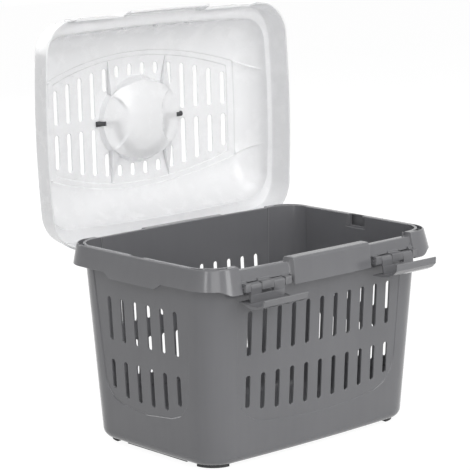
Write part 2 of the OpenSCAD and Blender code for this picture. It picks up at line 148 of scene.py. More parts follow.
# %% [markdown]
# Shader maths
#
# A finish is built from a few noises that are added, scaled and mixed. Written node by node
# that is hard to read, so a small class wraps a socket and lets Python's own operators add the
# Math nodes. Every other node comes from one method, which takes the node's type, its settings
# and the values or links of its sockets.

# %% Sockets that can be used in sums
class Value:
    """A number that varies over a surface."""

    def __init__(self, tree, socket):
        self.tree = tree
        self.socket = socket

    def maths(self, operation, first, second):
        return self.tree.node("ShaderNodeMath", {"operation": operation}, {0: first, 1: second})

    def __add__(self, other):
        return self.maths("ADD", self, other)

    def __sub__(self, other):
        return self.maths("SUBTRACT", self, other)

    def __rsub__(self, other):
        return self.maths("SUBTRACT", other, self)

    def __mul__(self, other):
        return self.maths("MULTIPLY", self, other)

    __radd__ = __add__
    __rmul__ = __mul__


class Tree:
    """The nodes of a material or of the world."""

    def __init__(self, node_tree):
        self.nodes = node_tree.nodes
        self.links = node_tree.links

    def node(self, kind, settings, sockets, output=0):
        """Adds a node. Its settings come first, and a ramp's stops are (position, brightness)."""
        node = self.nodes.new(kind)
        for name, value in settings.items():
            if name == "stops":
                for stop, (position, level) in zip(node.color_ramp.elements, value):
                    stop.position = position
                    stop.color = (level, level, level, 1)
            else:
                setattr(node, name, value)
        for name, value in sockets.items():
            self.plug(node.inputs[name], value)
        return Value(self, node.outputs[output])

    def plug(self, socket, value):
        if isinstance(value, Value):
            self.links.new(value.socket, socket)
        else:
            socket.default_value = value


class Finish(Tree):
    """A material, whose finish is built round one Principled shader."""

    def __init__(self, name, **constants):
        self.material = bpy.data.materials.new(name)
        self.material.use_nodes = True
        super().__init__(self.material.node_tree)
        self.shader = self.nodes["Principled BSDF"]
        self.place = self.node("ShaderNodeTexCoord", {}, {}, "Object")
        self.finish(**constants)

    def noise(self, size, detail=3, stretch=(1, 1, 1)):
        """Noise whose blotches are about size metres across, stretched along some axes."""
        place = self.node("ShaderNodeMapping", {}, {"Vector": self.place, "Scale": stretch})
        return self.node("ShaderNodeTexNoise", {}, {"Vector": place, "Scale": 1 / size, "Detail": detail})

    def ramp(self, value, low, high):
        """Stretches a value, to be 0 up to low and 1 from high."""
        return self.node("ShaderNodeValToRGB", {"stops": [(low, 0), (high, 1)]}, {0: value})

    def tint(self, amount, low, high):
        """Blends two colours."""
        return self.node("ShaderNodeMix", {"data_type": "RGBA"}, {0: amount, 6: low, 7: high}, 2)

    def bump(self, height, depth):
        """Turns a height from 0 to 1 into a relief that is depth metres deep."""
        return self.node("ShaderNodeBump", {}, {"Height": height, "Distance": depth, "Strength": 1})

    def finish(self, **results):
        for socket, value in results.items():
            self.plug(self.shader.inputs[socket.replace("_", " ")], value)
        return self.material


print("shader helpers ready")

# %% [markdown]
# Grey tub plastic
#
# The tub and the latches are moulded in a mid grey polypropylene. The mould was sparked to a
# fine satin grain, so the sheen is soft and a little uneven. Cooling leaves faint clouds and
# upright flow marks, handling leaves patches that shine more, and the outer edges are painted
# paler, partly as rubbing and partly as a painted highlight along the edges. All of it is noise
# on the object's own coordinates, so nothing needs a map.

# %% Grey plastic
def grey_plastic(name):
    finish = Finish(name, IOR=1.49, Coat_Roughness=0.22)
    clouds = finish.noise(0.09, 4)
    flow = finish.noise(0.012, 3, (1, 1, 0.08))
    grain = finish.noise(0.0007, 2)
    handled = finish.ramp(finish.noise(0.035, 5), 0.42, 0.72)
    # Pointiness makes the outer edges paler: partly rubbing, partly a painted highlight along the edges.
    worn_and_highlit_edges = finish.ramp(finish.node("ShaderNodeNewGeometry", {}, {}, "Pointiness"), 0.52, 0.6)
    mottle = clouds * 0.45 + flow * 0.35 + grain * 0.2
    body = finish.tint(mottle, (0.152, 0.153, 0.162, 1), (0.187, 0.188, 0.198, 1))
    colour = finish.tint(worn_and_highlit_edges * 0.35, body, (0.33, 0.33, 0.335, 1))
    rough = 0.155 - handled * 0.03 + grain * 0.04
    relief = finish.bump(grain * 0.8 + clouds * 0.2, 0.00002)
    return finish.finish(Base_Color=colour, Roughness=rough, Coat_Weight=handled * 0.12, Normal=relief)


tub_plastic = grey_plastic("tub_plastic")
latch_plastic = grey_plastic("latch_plastic")
print("grey plastics:", tub_plastic.name, latch_plastic.name)

# %% [markdown]
# White lid plastic
#
# The lid is a glossier and milkier polypropylene, thin enough to let some light in. A little
# subsurface scattering gives the milkiness. Its gloss is broken by very shallow ripples, which
# every large thin moulding has, by dust and by fine rubbing marks.

# %% White plastic
def white_plastic(name):
    finish = Finish(name, IOR=1.5, Subsurface_Weight=0.7, Subsurface_Scale=0.01,
                    Subsurface_Radius=(1, 1, 1), Coat_Roughness=0.08)
    clouds = finish.noise(0.12, 3)
    ripple = finish.noise(0.03, 2)
    grain = finish.noise(0.0009, 2)
    rubbed = finish.noise(0.03, 4)
    dust = finish.ramp(finish.noise(0.0016, 1), 0.7, 0.78)
    body = finish.tint(clouds * 0.7 + grain * 0.3, (0.86, 0.865, 0.885, 1), (0.90, 0.903, 0.915, 1))
    colour = finish.tint(dust * 0.3, body, (0.62, 0.61, 0.59, 1))
    rough = 0.22 + rubbed * 0.06 + grain * 0.04
    relief = finish.bump(ripple * 0.9 + grain * 0.1, 0.00006)
    return finish.finish(Base_Color=colour, Roughness=rough, Coat_Weight=0.24 - rubbed * 0.04, Normal=relief)


lid_plastic = white_plastic("lid_plastic")
print("white plastic:", lid_plastic.name)

# %% [markdown]
# Handle, feet and pins
#
# The handle is a dark satin plastic, the feet are a matt rubber that has picked up pale dust,
# and the pins are drawn wire, whose fine lines run along X.

# %% Dark plastic, rubber and steel
def dark_plastic(name):
    finish = Finish(name, IOR=1.49)
    grain = finish.noise(0.0006, 2)
    clouds = finish.noise(0.03, 4)
    handled = finish.ramp(finish.noise(0.014, 4), 0.4, 0.7)
    colour = finish.tint(clouds * 0.6 + grain * 0.4, (0.034, 0.035, 0.038, 1), (0.062, 0.063, 0.067, 1))
    rough = 0.45 - handled * 0.14 + grain * 0.12
    return finish.finish(Base_Color=colour, Roughness=rough, Normal=finish.bump(grain, 0.00004))


def dusty_rubber(name):
    finish = Finish(name, IOR=1.52)
    grain = finish.noise(0.0005, 3)
    dust = finish.ramp(finish.noise(0.006, 5), 0.45, 0.75)
    colour = finish.tint(dust * 0.5, (0.05, 0.05, 0.053, 1), (0.17, 0.168, 0.162, 1))
    return finish.finish(Base_Color=colour, Roughness=0.72 + dust * 0.15,
                         Normal=finish.bump(grain, 0.00008))


def drawn_wire(name):
    finish = Finish(name)
    lines = finish.noise(0.0004, 3, (0.03, 1, 1))
    colour = finish.tint(lines, (0.50, 0.50, 0.51, 1), (0.68, 0.68, 0.69, 1))
    return finish.finish(Base_Color=colour, Metallic=0.9 + lines * 0.1, Roughness=0.28 + lines * 0.2,
                         Normal=finish.bump(lines, 0.00002))


handle_plastic = dark_plastic("handle_plastic")
foot_rubber = dusty_rubber("foot_rubber")
pin_steel = drawn_wire("pin_steel")
print("small finishes:", handle_plastic.name, foot_rubber.name, pin_steel.name)

# %% [markdown]
# Light and floor
#
# A product like this is shot in a white tent. Light comes from everywhere, and two tall narrow
# soft boxes stand left and right of the camera: their reflections are the two upright
# highlights on the near corner. A broad weak box near the camera fills the lid, one hangs
# above, and one stands behind, where it shines on the back of the milky lid. The backdrop is
# white because the world is given a strength of 1 for camera, mirror and glass rays, and a
# lower one for the light that it throws. The floor is pale in the same way: it stays a real
# surface, so the keeper's shadow falls on it.

# %% World, floor and lamps
def seen_directly(tree):
    """1 for rays that show the backdrop itself: camera, glossy and transmission rays."""
    camera_ray, glossy_ray, glass_ray = (tree.node("ShaderNodeLightPath", {}, {}, f"Is {ray} Ray")
                                         for ray in ("Camera", "Glossy", "Transmission"))
    either = camera_ray.maths("MAXIMUM", camera_ray, glossy_ray)
    return either.maths("MAXIMUM", either, glass_ray)


def soft_lamp(name, place, aim, size, power):
    data = bpy.data.lights.new(name, "AREA")
    data.shape = "RECTANGLE"
    data.size, data.size_y = size
    data.energy = power
    lamp = add_object(name, data)
    lamp.location = place
    lamp.rotation_euler = (Vector(aim) - Vector(place)).to_track_quat("-Z", "Y").to_euler()


FILL = 0.29
FLOOR_GLOW, GLOW_LEVEL, FLOOR_SIZE = 0.75, 1.24, 6
world = bpy.data.worlds.new("white_tent")
bpy.context.scene.world = world
world.use_nodes = True
tent = Tree(world.node_tree)
sky = tent.nodes["Background"]
tent.plug(sky.inputs["Color"], (1, 1, 1, 1))
tent.plug(sky.inputs["Strength"], tent.node("ShaderNodeMapRange", {}, {
    "Value": seen_directly(tent), "To Min": FILL, "To Max": 1}))

paper = Finish("floor_paper", Roughness=0.9, Specular_IOR_Level=0)
paper.finish(Base_Color=paper.tint(paper.noise(0.5, 2), (0.70, 0.70, 0.705, 1), (0.73, 0.73, 0.73, 1)))
glow = paper.node("ShaderNodeEmission", {}, {"Strength": GLOW_LEVEL})
paper.plug(paper.nodes["Material Output"].inputs["Surface"], paper.node("ShaderNodeMixShader", {}, {
    0: seen_directly(paper) * FLOOR_GLOW, 1: Value(paper, paper.shader.outputs[0]), 2: glow}))
floor_mesh = bmesh.new()
bmesh.ops.create_grid(floor_mesh, x_segments=2, y_segments=2, size=FLOOR_SIZE)
mesh_object("floor", floor_mesh, paper.material)

soft_lamp("left_box", (-2.95, -1.55, 1.45), (0, 0, 0.4), (0.5, 2.2), 16)
soft_lamp("right_box", (1.05, -3.15, 1.45), (0, 0, 0.4), (1.0, 2.3), 31)
soft_lamp("near_box", (-1.6, -2.9, 1.5), (0, 0, 0.35), (1.8, 1.8), 21)
soft_lamp("top_box", (0.2, -1.5, 3.0), (0, 0, 0.3), (2.0, 1.5), 28)
soft_lamp("back_box", (0, 2.8, 1.6), (0, 0, 0.5), (2.6, 2.0), 50)
bpy.context.scene.view_settings.view_transform = "Standard"

# %% [markdown]
# Rings and sheets
#
# The tub and the lid are each one thin sheet that runs round the object and closes on itself.
# Such a sheet could be cut from boxes, but its rounded corners, its lean and its bowed sides
# change with height, and that is easiest to say ring by ring. A ring is a rounded rectangle. A
# sheet starts from a circle of edges that is moved onto the first ring, and each further ring
# is extruded from the last. Where the sheet turns round an edge, the rings follow a quarter of a
# circle. The Solidify modifier then gives the sheet its wall.

# %% Rings
CORNER_STEPS = 12


def rounded_ring(half_x, half_y, radius, bow_x, bow_y, long_stops, short_stops, shift=0):
    """Points of a rounded rectangle with bowed sides, anticlockwise from the -Y end of its +X
    side. The stops are the places along the long and short sides that get a point."""
    straight_x = half_x - radius
    straight_y = half_y - radius
    fit_x = min(1, straight_x / (long_stops[-1] + 1))
    fit_y = min(1, straight_y / (short_stops[-1] + 1))
    xs = [stop * fit_x for stop in long_stops]
    ys = [stop * fit_y for stop in short_stops]

    def corner(sign_x, sign_y, start):
        angles = [math.radians(start + 90 * step / CORNER_STEPS) for step in range(CORNER_STEPS + 1)]
        return [(sign_x * straight_x + radius * math.cos(a), sign_y * straight_y + radius * math.sin(a))
                for a in angles]

    right_side = [(half_x + bow_x * (1 - (y / straight_y) ** 2), y) for y in ys]
    back_side = [(x, half_y + bow_y * (1 - (x / straight_x) ** 2)) for x in reversed(xs)]
    left_side = [(-x, -y) for x, y in right_side]
    front_side = [(-x, -y) for x, y in back_side]
    loop = (right_side + corner(1, 1, 0) + back_side + corner(-1, 1, 90)
            + left_side + corner(-1, -1, 180) + front_side + corner(1, -1, 270))
    return [(x, y + shift) for x, y in loop]


def mirrored_stops(*stops):
    """The same stops on both sides of the middle, in rising order."""
    return sorted({-stop for stop in stops} | set(stops))


def ring_edges(sheet, ring):
    return [sheet.edges.get(pair) for pair in zip(ring, ring[1:] + ring[:1])]


def start_sheet(sheet, points):
    ring = bmesh.ops.create_circle(sheet, segments=len(points), radius=1)["verts"]
    for vert, point in zip(ring, points):
        vert.co = point
    return ring


def extend_sheet(sheet, ring, *rings):
    """Extrudes a closed ring of vertices to new points, ring after ring, and gives the last."""
    for points in rings:
        grown = set(bmesh.ops.extrude_edge_only(sheet, edges=ring_edges(sheet, ring))["geom"])
        ring = [next(edge.other_vert(vert) for edge in vert.link_edges if edge.other_vert(vert) in grown)
                for vert in ring]
        for vert, point in zip(ring, points):
            vert.co = point
    return ring


def quarter(radius, degrees):
    """Steps round a quarter of a circle, as distances from its two tangents."""
    return [(radius * (1 - math.cos(turn)), radius * (1 - math.sin(turn)))
            for turn in map(math.radians, degrees)]


def at_height(points, z):
    return [(x, y, z) for x, y in points]


# %% [markdown]
# Slots with round ends
#
# Both mouldings breathe through long slots with round ends. Boolean cutters would leave messy
# faces round each of them. Here a slot is drawn with planes instead: four of them cut a clean
# rectangle out of the sheet, four more cut the straight part of the slot out of that, and when
# it is deleted its two end edges are subdivided and pushed out to half circles. It takes the
# same steps in any wall, so one function serves all the slots, whichever way the wall faces.

# %% Slots
ARC_STEPS = 11
SIDE_MARGIN = 1.2
FAR = 1e6
SQUARELY = 0.9


def split(sheet, faces, point, normal):
    """Cuts some faces with a plane and gives all the pieces."""
    edges = dict.fromkeys(edge for face in faces for edge in face.edges)
    verts = dict.fromkeys(vert for face in faces for vert in face.verts)
    cut = bmesh.ops.bisect_plane(sheet, geom=[*faces, *edges, *verts], dist=1e-4,
                                 plane_co=point, plane_no=normal)
    return [part for part in cut["geom"] if isinstance(part, bmesh.types.BMFace)]


def centre(face):
    return face.calc_center_median()


def between(faces, axis, low, high):
    return [face for face in faces if low < centre(face)[axis] < high]


def unit(axis, size=1.0):
    vector = Vector((0, 0, 0))
    vector[axis] = size
    return vector


def strip(sheet, faces, axis, low, high):
    """Cuts some faces across an axis at low and high, and gives the pieces between them."""
    faces = between(split(sheet, faces, unit(axis, low), unit(axis)), axis, low, FAR)
    return between(split(sheet, faces, unit(axis, high), unit(axis)), axis, low, high)


def cut_slot(sheet, faces, across, along, middle, low, high, width, margin=3.0):
    """Cuts one slot. across and along are axis numbers, and the rest is in millimetres."""
    radius = width / 2
    faces = strip(sheet, faces, across, middle - radius - SIDE_MARGIN, middle + radius + SIDE_MARGIN)
    faces = strip(sheet, faces, along, low - margin, high + margin)
    if len(faces) > 1:
        faces = bmesh.ops.dissolve_faces(sheet, faces=faces, use_verts=True)["region"]
    normal = faces[0].normal.copy()
    anchor = centre(faces[0])
    depth = 3 - across - along
    hole = strip(sheet, faces, along, low + radius, high - radius)
    hole = strip(sheet, hole, across, middle - radius, middle + radius)
    ends = dict.fromkeys(edge for face in hole for edge in face.edges
                         if abs(edge.verts[0].co[along] - edge.verts[1].co[along]) < 0.01)
    bmesh.ops.delete(sheet, geom=hole, context="FACES")
    for edge in [edge for edge in ends if edge.is_valid]:
        start = edge.verts[0].co[along]
        outward = 1 if start > (low + high) / 2 else -1
        corners = set(edge.verts)
        made = bmesh.ops.subdivide_edges(sheet, edges=[edge], cuts=ARC_STEPS)["geom_inner"]
        points = sorted((v for v in made if isinstance(v, bmesh.types.BMVert) and v not in corners),
                        key=lambda v: v.co[across])
        for step, vert in enumerate(points, 1):
            angle = math.pi * step / (ARC_STEPS + 1)
            vert.co[across] = middle - radius * math.cos(angle)
            vert.co[along] = start + outward * radius * math.sin(angle)
            offset = vert.co - anchor
            offset[depth] = 0
            vert.co[depth] = anchor[depth] - offset.dot(normal) / normal[depth]


print("ring and slot helpers ready")

# %% [markdown]
# The tub
#
# The real tub is one moulding, 2.6 mm thick everywhere. Seen as a sheet, it starts at the
# middle of the floor, rounds into the walls, climbs to the rim, turns over the lip and comes
# down outside as a flared skirt. The same sheet makes the block in the middle of the front,
# the four lower zones where latches and hinges sit, and the finger grips under the short
# sides: there a point of a ring is only set in, lowered or raised. The numbers are those of
# the CAD source.

# %% Sizes of the tub
tub_wall = 2.6
floor_top = 6.9
floor_round = 10
rim_top = 288.7
base_half = (201.1, 128.7)
base_radius = 43.5
wall_top_half = (217.45, 143.45)
wall_top_radius = 40
rim_half = (223.3, 153.0)
wall_bow = (1.3, 4.0)
skirt_depth, skirt_step = 36.5, 7.5
grip_ends, front_turn, front_ends = (47, 59), (-134, -124), (184, 204)
front_flare, back_flare = 9.0, 4.0
lip_radius = 1.8

block_half = 75
block_face_top, block_face_bottom = 162.0, 164.5
block_bevel = 3.5
long_side_y, short_side_x = 130, 200
zone_inner, zone_outer = 79, 170
zone_recess, zone_drop = 3.5, 5.8
latch_zone_bottom = 266.4
pocket_half, pocket_bottom, pocket_back = 14, 269.7, 220.3
pocket_window = (271.5, 286)
corner_middle, corner_turns, corner_depth = (177.5, 103.5), (18, 76), 5.0

tub_long_stops = mirrored_stops(8, 19, 35, 47, 61, 72, 75, 76.6, 79, 80.6, 96, 121, 146, 158,
                                168.6, 170.2, 176)
tub_short_stops = mirrored_stops(6, 13.2, 14.8, 21, 34, 48, 60, 75, 92, 108)


def ease(value, start, end):
    """0 before start, 1 after end, and a smooth ramp between them."""
    t = max(0.0, min(1.0, (value - start) / (end - start)))
    return t * t * (3 - 2 * t)


def tub_ring(z, inset):
    """Ring of the tub's wall at height z, inset from its outside."""
    t = z / rim_top
    half_x, half_y, radius = (a + (b - a) * t - inset for a, b in
                              ((base_half[0], wall_top_half[0]), (base_half[1], wall_top_half[1]),
                               (base_radius, wall_top_radius)))
    return rounded_ring(half_x, half_y, radius, *wall_bow, tub_long_stops, tub_short_stops)


def rim_ring(drop, inset):
    """Ring of the rim's skirt, drop below the rim's top: it flares less at the back."""
    t = drop / skirt_depth
    front, back = front_flare * t - inset, back_flare * t - inset
    spread = (front + back) / 2
    return rounded_ring(rim_half[0] + front, rim_half[1] + spread, wall_top_radius + spread, *wall_bow,
                        tub_long_stops, tub_short_stops, (back - front) / 2)


def in_zone(x, y):
    """True in the lower zones of the rim, where the latches and hinges sit."""
    return zone_inner - 0.1 < abs(x) < zone_outer - 1 and abs(y) > long_side_y


def in_block(x, y):
    return y < -long_side_y and abs(x) < block_half + 0.1


def in_pocket(x, y):
    return abs(y) < pocket_half and abs(x) > short_side_x


print("tub rings have", len(tub_ring(0, 0)), "points")

# %% [markdown]
# The tub's sheet, ring by ring
#
# A point of a ring only has to know where it is: the same functions ask whether it lies in a
# zone of the rim, in the block or in a finger pocket, and move it. The rings then follow the
# sheet's section: floor, rounding, wall, pockets, top, lip and skirt. The four corners of the
# rim are set a little lower than its sides, which catches the light.

# %% Sheet of the tub
def skirt_bottom(x, y):
    """Height of the skirt's lower edge: deep along the front and over the grips of the short
    sides, shallow round the corners and along the back."""
    low, high = rim_top - skirt_depth, rim_top - skirt_depth + skirt_step
    if y < 0 and in_zone(x, y):
        return latch_zone_bottom
    grip = 1 - ease(abs(y), *grip_ends)
    front = (1 - ease(y, *front_turn)) * (1 - ease(abs(x), *front_ends))
    return high + (low - high) * max(grip, front)


def rim_points(drop, inset, follow_bottom=False):
    """Ring of the rim with its zones and its block, drop below the lip and inset from it. With
    follow_bottom the ring lies on the skirt's lower edge."""
    points = []
    for (x, y), (flared_x, flared_y) in zip(rim_ring(0, inset), rim_ring(skirt_depth, inset)):
        z = rim_top - drop - (zone_drop if in_zone(x, y) else 0)
        if follow_bottom:
            z = skirt_bottom(x, y)
        t = (rim_top - z) / skirt_depth
        x, y = x + (flared_x - x) * t, y + (flared_y - y) * t
        if in_zone(x, y):
            y -= math.copysign(zone_recess, y)
        elif in_block(x, y):
            bevel = max(0.0, block_bevel - (rim_top - z))
            face = block_face_top + (block_face_bottom - block_face_top) * t - bevel
            y = min(y, -face)
        points.append((x, y, z))
    return points


def wall_top_points(outset, lowered):
    """Ring on top of the wall, which stands above the rim in the zones and goes round the
    pocket in the middle of each short side."""
    points = []
    for x, y in tub_ring(rim_top, -outset):
        drop = zone_drop if in_zone(x, y) and (lowered or y < 0) else 0
        if in_pocket(x, y):
            x = math.copysign(pocket_back + outset / 2, x)
        points.append((x, y, rim_top - drop))
    return points


def pocket_points(z, inside, low_front=False):
    """Ring of the inner wall, set back where the pocket is."""
    return [(math.copysign(pocket_back, x) if inside and in_pocket(x, y) else x, y,
             z - (zone_drop if low_front and y < 0 and in_zone(x, y) else 0))
            for x, y in tub_ring(z, tub_wall)]


def sink_corners(points):
    """Lowers the points that lie in the middle of the rim's corners."""
    sunk = []
    for x, y, z in points:
        past_x, past_y = abs(x) - corner_middle[0], abs(y) - corner_middle[1]
        turn = math.degrees(math.atan2(past_y, past_x))
        in_corner = past_x > 0 and corner_turns[0] < turn < corner_turns[1]
        sunk.append((x, y, z - corner_depth * in_corner))
    return sunk


tub_sheet = bmesh.new()
ring = start_sheet(tub_sheet, at_height(tub_ring(floor_top, tub_wall + floor_round), floor_top))
tub_floor = tub_sheet.faces.new(ring)
wall_steps = [(floor_top + rise, tub_wall + inset)
              for rise, inset in quarter(floor_round, (18, 36, 54, 72, 90))]
wall_steps += [(45, tub_wall), (255, tub_wall)]
extend_sheet(
    tub_sheet, ring, *[at_height(tub_ring(height, inset), height) for height, inset in wall_steps],
    pocket_points(pocket_bottom, False), pocket_points(pocket_bottom + 0.8, True),
    pocket_points(rim_top, True, True), wall_top_points(0.6, False), wall_top_points(1.4, True),
    sink_corners(wall_top_points(2.2, True)), sink_corners(rim_points(0, lip_radius + 1.0)),
    rim_points(0, lip_radius + 0.5),
    *[rim_points(drop, inset) for drop, inset in quarter(lip_radius, (0, 30, 60, 90))],
    rim_points(block_bevel, 0), rim_points(skirt_depth, 0, True))
bmesh.ops.recalc_face_normals(tub_sheet, faces=tub_sheet.faces)
if tub_floor.normal.z < 0:
    bmesh.ops.reverse_faces(tub_sheet, faces=tub_sheet.faces)
print("tub sheet:", len(tub_sheet.faces), "faces")


# %% [markdown]
# Panels and air slots
#
# The slotted part of each wall is a panel that is set in by little over a millimetre, which
# shows as a fine bright line near the corners. Its outline is convex, so planes can cut it out of
# the wall one side at a time, and an inset with a depth sets it in. The slots follow: two
# rows in each wall, whose lower ends rise towards the corners with the panel's lower edge.

# %% Panels and slots of the tub
panel_step, panel_edge = 1.3, 0.8
panel_heights = (40, rim_top - 5)
long_wall_from, short_wall_from, wall_reach = 99, 171, 47
long_panel = [(163.5, 237), (158, 107), (151, 84), (138, 68), (118, 59), (60, 52), (0, 50)]
short_panel = [(102, 243), (90, 100), (84, 84), (72.5, 70), (53, 63), (0, 57.5)]
slot_width = 8
upper_row = (156.5, 220.6)
lower_top = 128.7
long_pitch, long_bottoms = 27.4, [82.1, 76.6, 73.8, 72, 70.7, 70.3, 70.7, 72, 73.8, 76.6, 82.1]
short_pitch, short_bottoms = 27.8, [84.6, 74.3, 72.9, 73.2, 75, 85.6]


def wall_faces(sheet, depth, sign, limit):
    """Faces of one inner wall, from the floor up to the rim."""
    sheet.normal_update()
    return [face for face in between(sheet.faces, 2, *panel_heights)
            if abs(face.normal[depth]) > SQUARELY and limit < centre(face)[depth] * sign < limit + wall_reach]


def keep_inside(sheet, faces, start, end, across):
    """Cuts the faces along a line in the wall's plane and keeps those above and inside it."""
    normal = Vector((0, 0, abs(start[0] - end[0])))
    normal[across] = -math.copysign(abs(start[1] - end[1]), start[0] + end[0])
    point = Vector((0, 0, start[1]))
    point[across] = start[0]
    faces = split(sheet, faces, point, normal)
    return [face for face in faces if (centre(face) - point).dot(normal) > 0]


def sink_panel(sheet, faces, half_outline, across):
    outline = half_outline + [(-x, z) for x, z in reversed(half_outline[:-1])]
    for start, end in zip(outline, outline[1:]):
        faces = keep_inside(sheet, faces, start, end, across)
    bmesh.ops.inset_region(sheet, faces=faces, thickness=panel_edge, depth=panel_step, use_even_offset=True)


for across, depth, limit, outline, pitch, bottoms in (
        (0, 1, long_wall_from, long_panel, long_pitch, long_bottoms),
        (1, 0, short_wall_from, short_panel, short_pitch, short_bottoms)):
    for sign in (-1, 1):
        sink_panel(tub_sheet, wall_faces(tub_sheet, depth, sign, limit), outline, across)
        for column, bottom in enumerate(bottoms):
            middle = (column - (len(bottoms) - 1) / 2) * pitch
            for low, high in ((bottom, lower_top), upper_row):
                cut_slot(tub_sheet, wall_faces(tub_sheet, depth, sign, limit), across, 2, middle,
                         low, high, slot_width)
tub_sheet.normal_update()
pocket_backs = [face for face in between(tub_sheet.faces, 1, -pocket_half, pocket_half)
                if abs(centre(face).x) > pocket_back - 1 and abs(face.normal.x) > SQUARELY
                and centre(face).z > pocket_bottom]
pocket_backs = strip(tub_sheet, pocket_backs, 2, *pocket_window)
inner_backs = [face for face in pocket_backs if abs(centre(face).x) < pocket_back + 1.7]
bmesh.ops.delete(tub_sheet, geom=inner_backs, context="FACES")
print("tub sheet with panels and slots:", len(tub_sheet.faces), "faces")

# %% [markdown]
# Knuckles, rails and other small solids
#
# What is left of a moulding are plain lumps: knuckles round a pin, rails, ribs and tabs. Each
# is one profile that is pulled along X. A knuckle is a sleeve: its profile is pulled out, the
# ring turns in to the bore and comes back, and a bridge closes it. Rounded corners are put
# into the profile itself, and the Bevel modifier breaks the edges that are left.

# %% Profiles, prisms and sleeves
BEVEL_FROM = 35


def rounded(points, radius, steps=4):
    """Rounds the corners of a closed profile."""
    corners = [Vector(point) for point in points]
    result = []
    for before, corner, after in zip(corners[-1:] + corners, corners, corners[1:] + corners[:1]):
        reach = min(radius, (before - corner).length / 2.01, (after - corner).length / 2.01)
        start = corner + (before - corner).normalized() * reach
        end = corner + (after - corner).normalized() * reach
        for step in range(steps + 1):
            t = step / steps
            result.append(start * (1 - t) ** 2 + corner * 2 * t * (1 - t) + end * t * t)
    return result


def about(pin_y, pin_z, points, radius):
    """A rounded profile whose points are measured from a pin."""
    return rounded([(pin_y + y, pin_z + z) for y, z in points], radius)


def along_x(profile, x):
    return [(x, y, z) for y, z in profile]


def close_ring(sheet, ring):
    """Fills a closed ring with one face. The edges are handed over too, or the order is guessed."""
    bmesh.ops.contextual_create(sheet, geom=ring + ring_edges(sheet, ring))


def solid_between(sheet, first_points, last_points):
    """A closed solid between two rings that have the same number of points."""
    first = start_sheet(sheet, first_points)
    last = extend_sheet(sheet, first, last_points)
    close_ring(sheet, first)
    close_ring(sheet, last)


def prism(sheet, profile, low, high):
    solid_between(sheet, along_x(profile, low), along_x(profile, high))


def sleeve(sheet, profile, axis, bore, low, high):
    """A prism along X with a round bore from end to end."""
    hole = [Vector(axis) + (Vector(point) - Vector(axis)).normalized() * bore for point in profile]
    first = start_sheet(sheet, along_x(profile, low))
    last = extend_sheet(sheet, first, along_x(profile, high), along_x(hole, high), along_x(hole, low))
    bmesh.ops.bridge_loops(sheet, edges=ring_edges(sheet, first) + ring_edges(sheet, last))


def box_profile(low_y, high_y, low_z, high_z, radius=0.0):
    corners = [(low_y, low_z), (high_y, low_z), (high_y, high_z), (low_y, high_z)]
    return rounded(corners, radius) if radius else corners


def mirrored_copy(sheet):
    """Adds the mirror image, left and right, of everything in the sheet."""
    geometry = bmesh.ops.duplicate(sheet, geom=sheet.verts[:] + sheet.edges[:] + sheet.faces[:])["geom"]
    copies = [part for part in geometry if isinstance(part, bmesh.types.BMVert)]
    for vert in copies:
        vert.co.x *= -1


def modify(piece, name, kind, **settings):
    modifier = piece.modifiers.new(name, kind)
    for setting, value in settings.items():
        setattr(modifier, setting, value)


def make_piece(name, sheet, matrix, material, body, wall=0.0, edge=0.45):
    """Makes an object of a sheet or of solids in millimetres, and gives it wall and edges."""
    sheet.transform(Matrix.Scale(MM, 4) @ matrix)
    if not wall:
        sheet.normal_update()
        bmesh.ops.recalc_face_normals(sheet, faces=sheet.faces)
    for face in sheet.faces:
        face.smooth = True
    piece = mesh_object(name, sheet, material)
    if wall:
        modify(piece, "wall", "SOLIDIFY", thickness=wall * MM, offset=-1, use_even_offset=True)
    modify(piece, "edges", "BEVEL", width=edge * MM, segments=2, limit_method="ANGLE",
           angle_limit=math.radians(BEVEL_FROM), use_clamp_overlap=not wall)
    modify(piece, "shading", "WEIGHTED_NORMAL", keep_sharp=True)
    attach(piece, body)
    print(f"{name}: {len(piece.data.polygons)} faces before its modifiers")
    return piece


# %% [markdown]
# The tub's knuckles, ribs and rails
#
# Three of the five knuckles of each hinge belong to the tub, and the two between them belong
# to the latch or the lid. One list of edges along X serves both sides, so they interlock. Four
# upright ribs stiffen the inside of the walls beside the corners. Everything is drawn on the
# right half and mirrored, and then the two pieces get their wall, their rounded edges and the
# body that they ride on.

# %% Tub
knuckle_edges = [84, 96, 117, 140, 160, 169.6]
knuckle_gap = 0.35
pin_bore = 1.65
latch_y, latch_z = latch_axis.y, latch_axis.z
hinge_y, hinge_z = hinge_axis.y, hinge_axis.z


def knuckle_spans(numbers):
    """From and to of every knuckle with these numbers, with play at the ends that meet."""
    return [(knuckle_edges[k] + knuckle_gap * (k > 0), knuckle_edges[k + 1] - knuckle_gap * (k < 4))
            for k in numbers]


tub_details = bmesh.new()
front_knuckle = about(latch_y, latch_z, [(-6, -5.6), (11, -5.6), (11, 9), (3.4, 9), (3.4, 6.2), (-6, 5.6)], 1)
rear_knuckle = about(hinge_y, hinge_z, [(-18, -5), (3, -5), (5, -3), (5, 3), (3, 5), (-18, 5)], 2)
for low, high in knuckle_spans((0, 2, 4)):
    sleeve(tub_details, front_knuckle, (latch_y, latch_z), pin_bore, low, high)
    sleeve(tub_details, rear_knuckle, (hinge_y, hinge_z), pin_bore, low, high)
rib_low, rib_high = 150, 288.2
for (low_x, low_y), (high_x, high_y) in (((159.4, 134.2), (166.7, 141.2)), ((206.8, 97.7), (214.8, 97.7))):
    for sign in (-1, 1):
        solid_between(tub_details, *(
            at_height(box_profile(x - 1, x + 1, sign * y - 1, sign * y + 1), z)
            for x, y, z in ((low_x, low_y, rib_low), (high_x, high_y, rib_high))))
rail_profile = rounded([(-64, 1.4), (64, 1.4), (60, 5.7), (-60, 5.7)], 1)
rail_middle, rail_half = 187.35, 1.75
prism(tub_details, rail_profile, rail_middle - rail_half, rail_middle + rail_half)
mirrored_copy(tub_details)

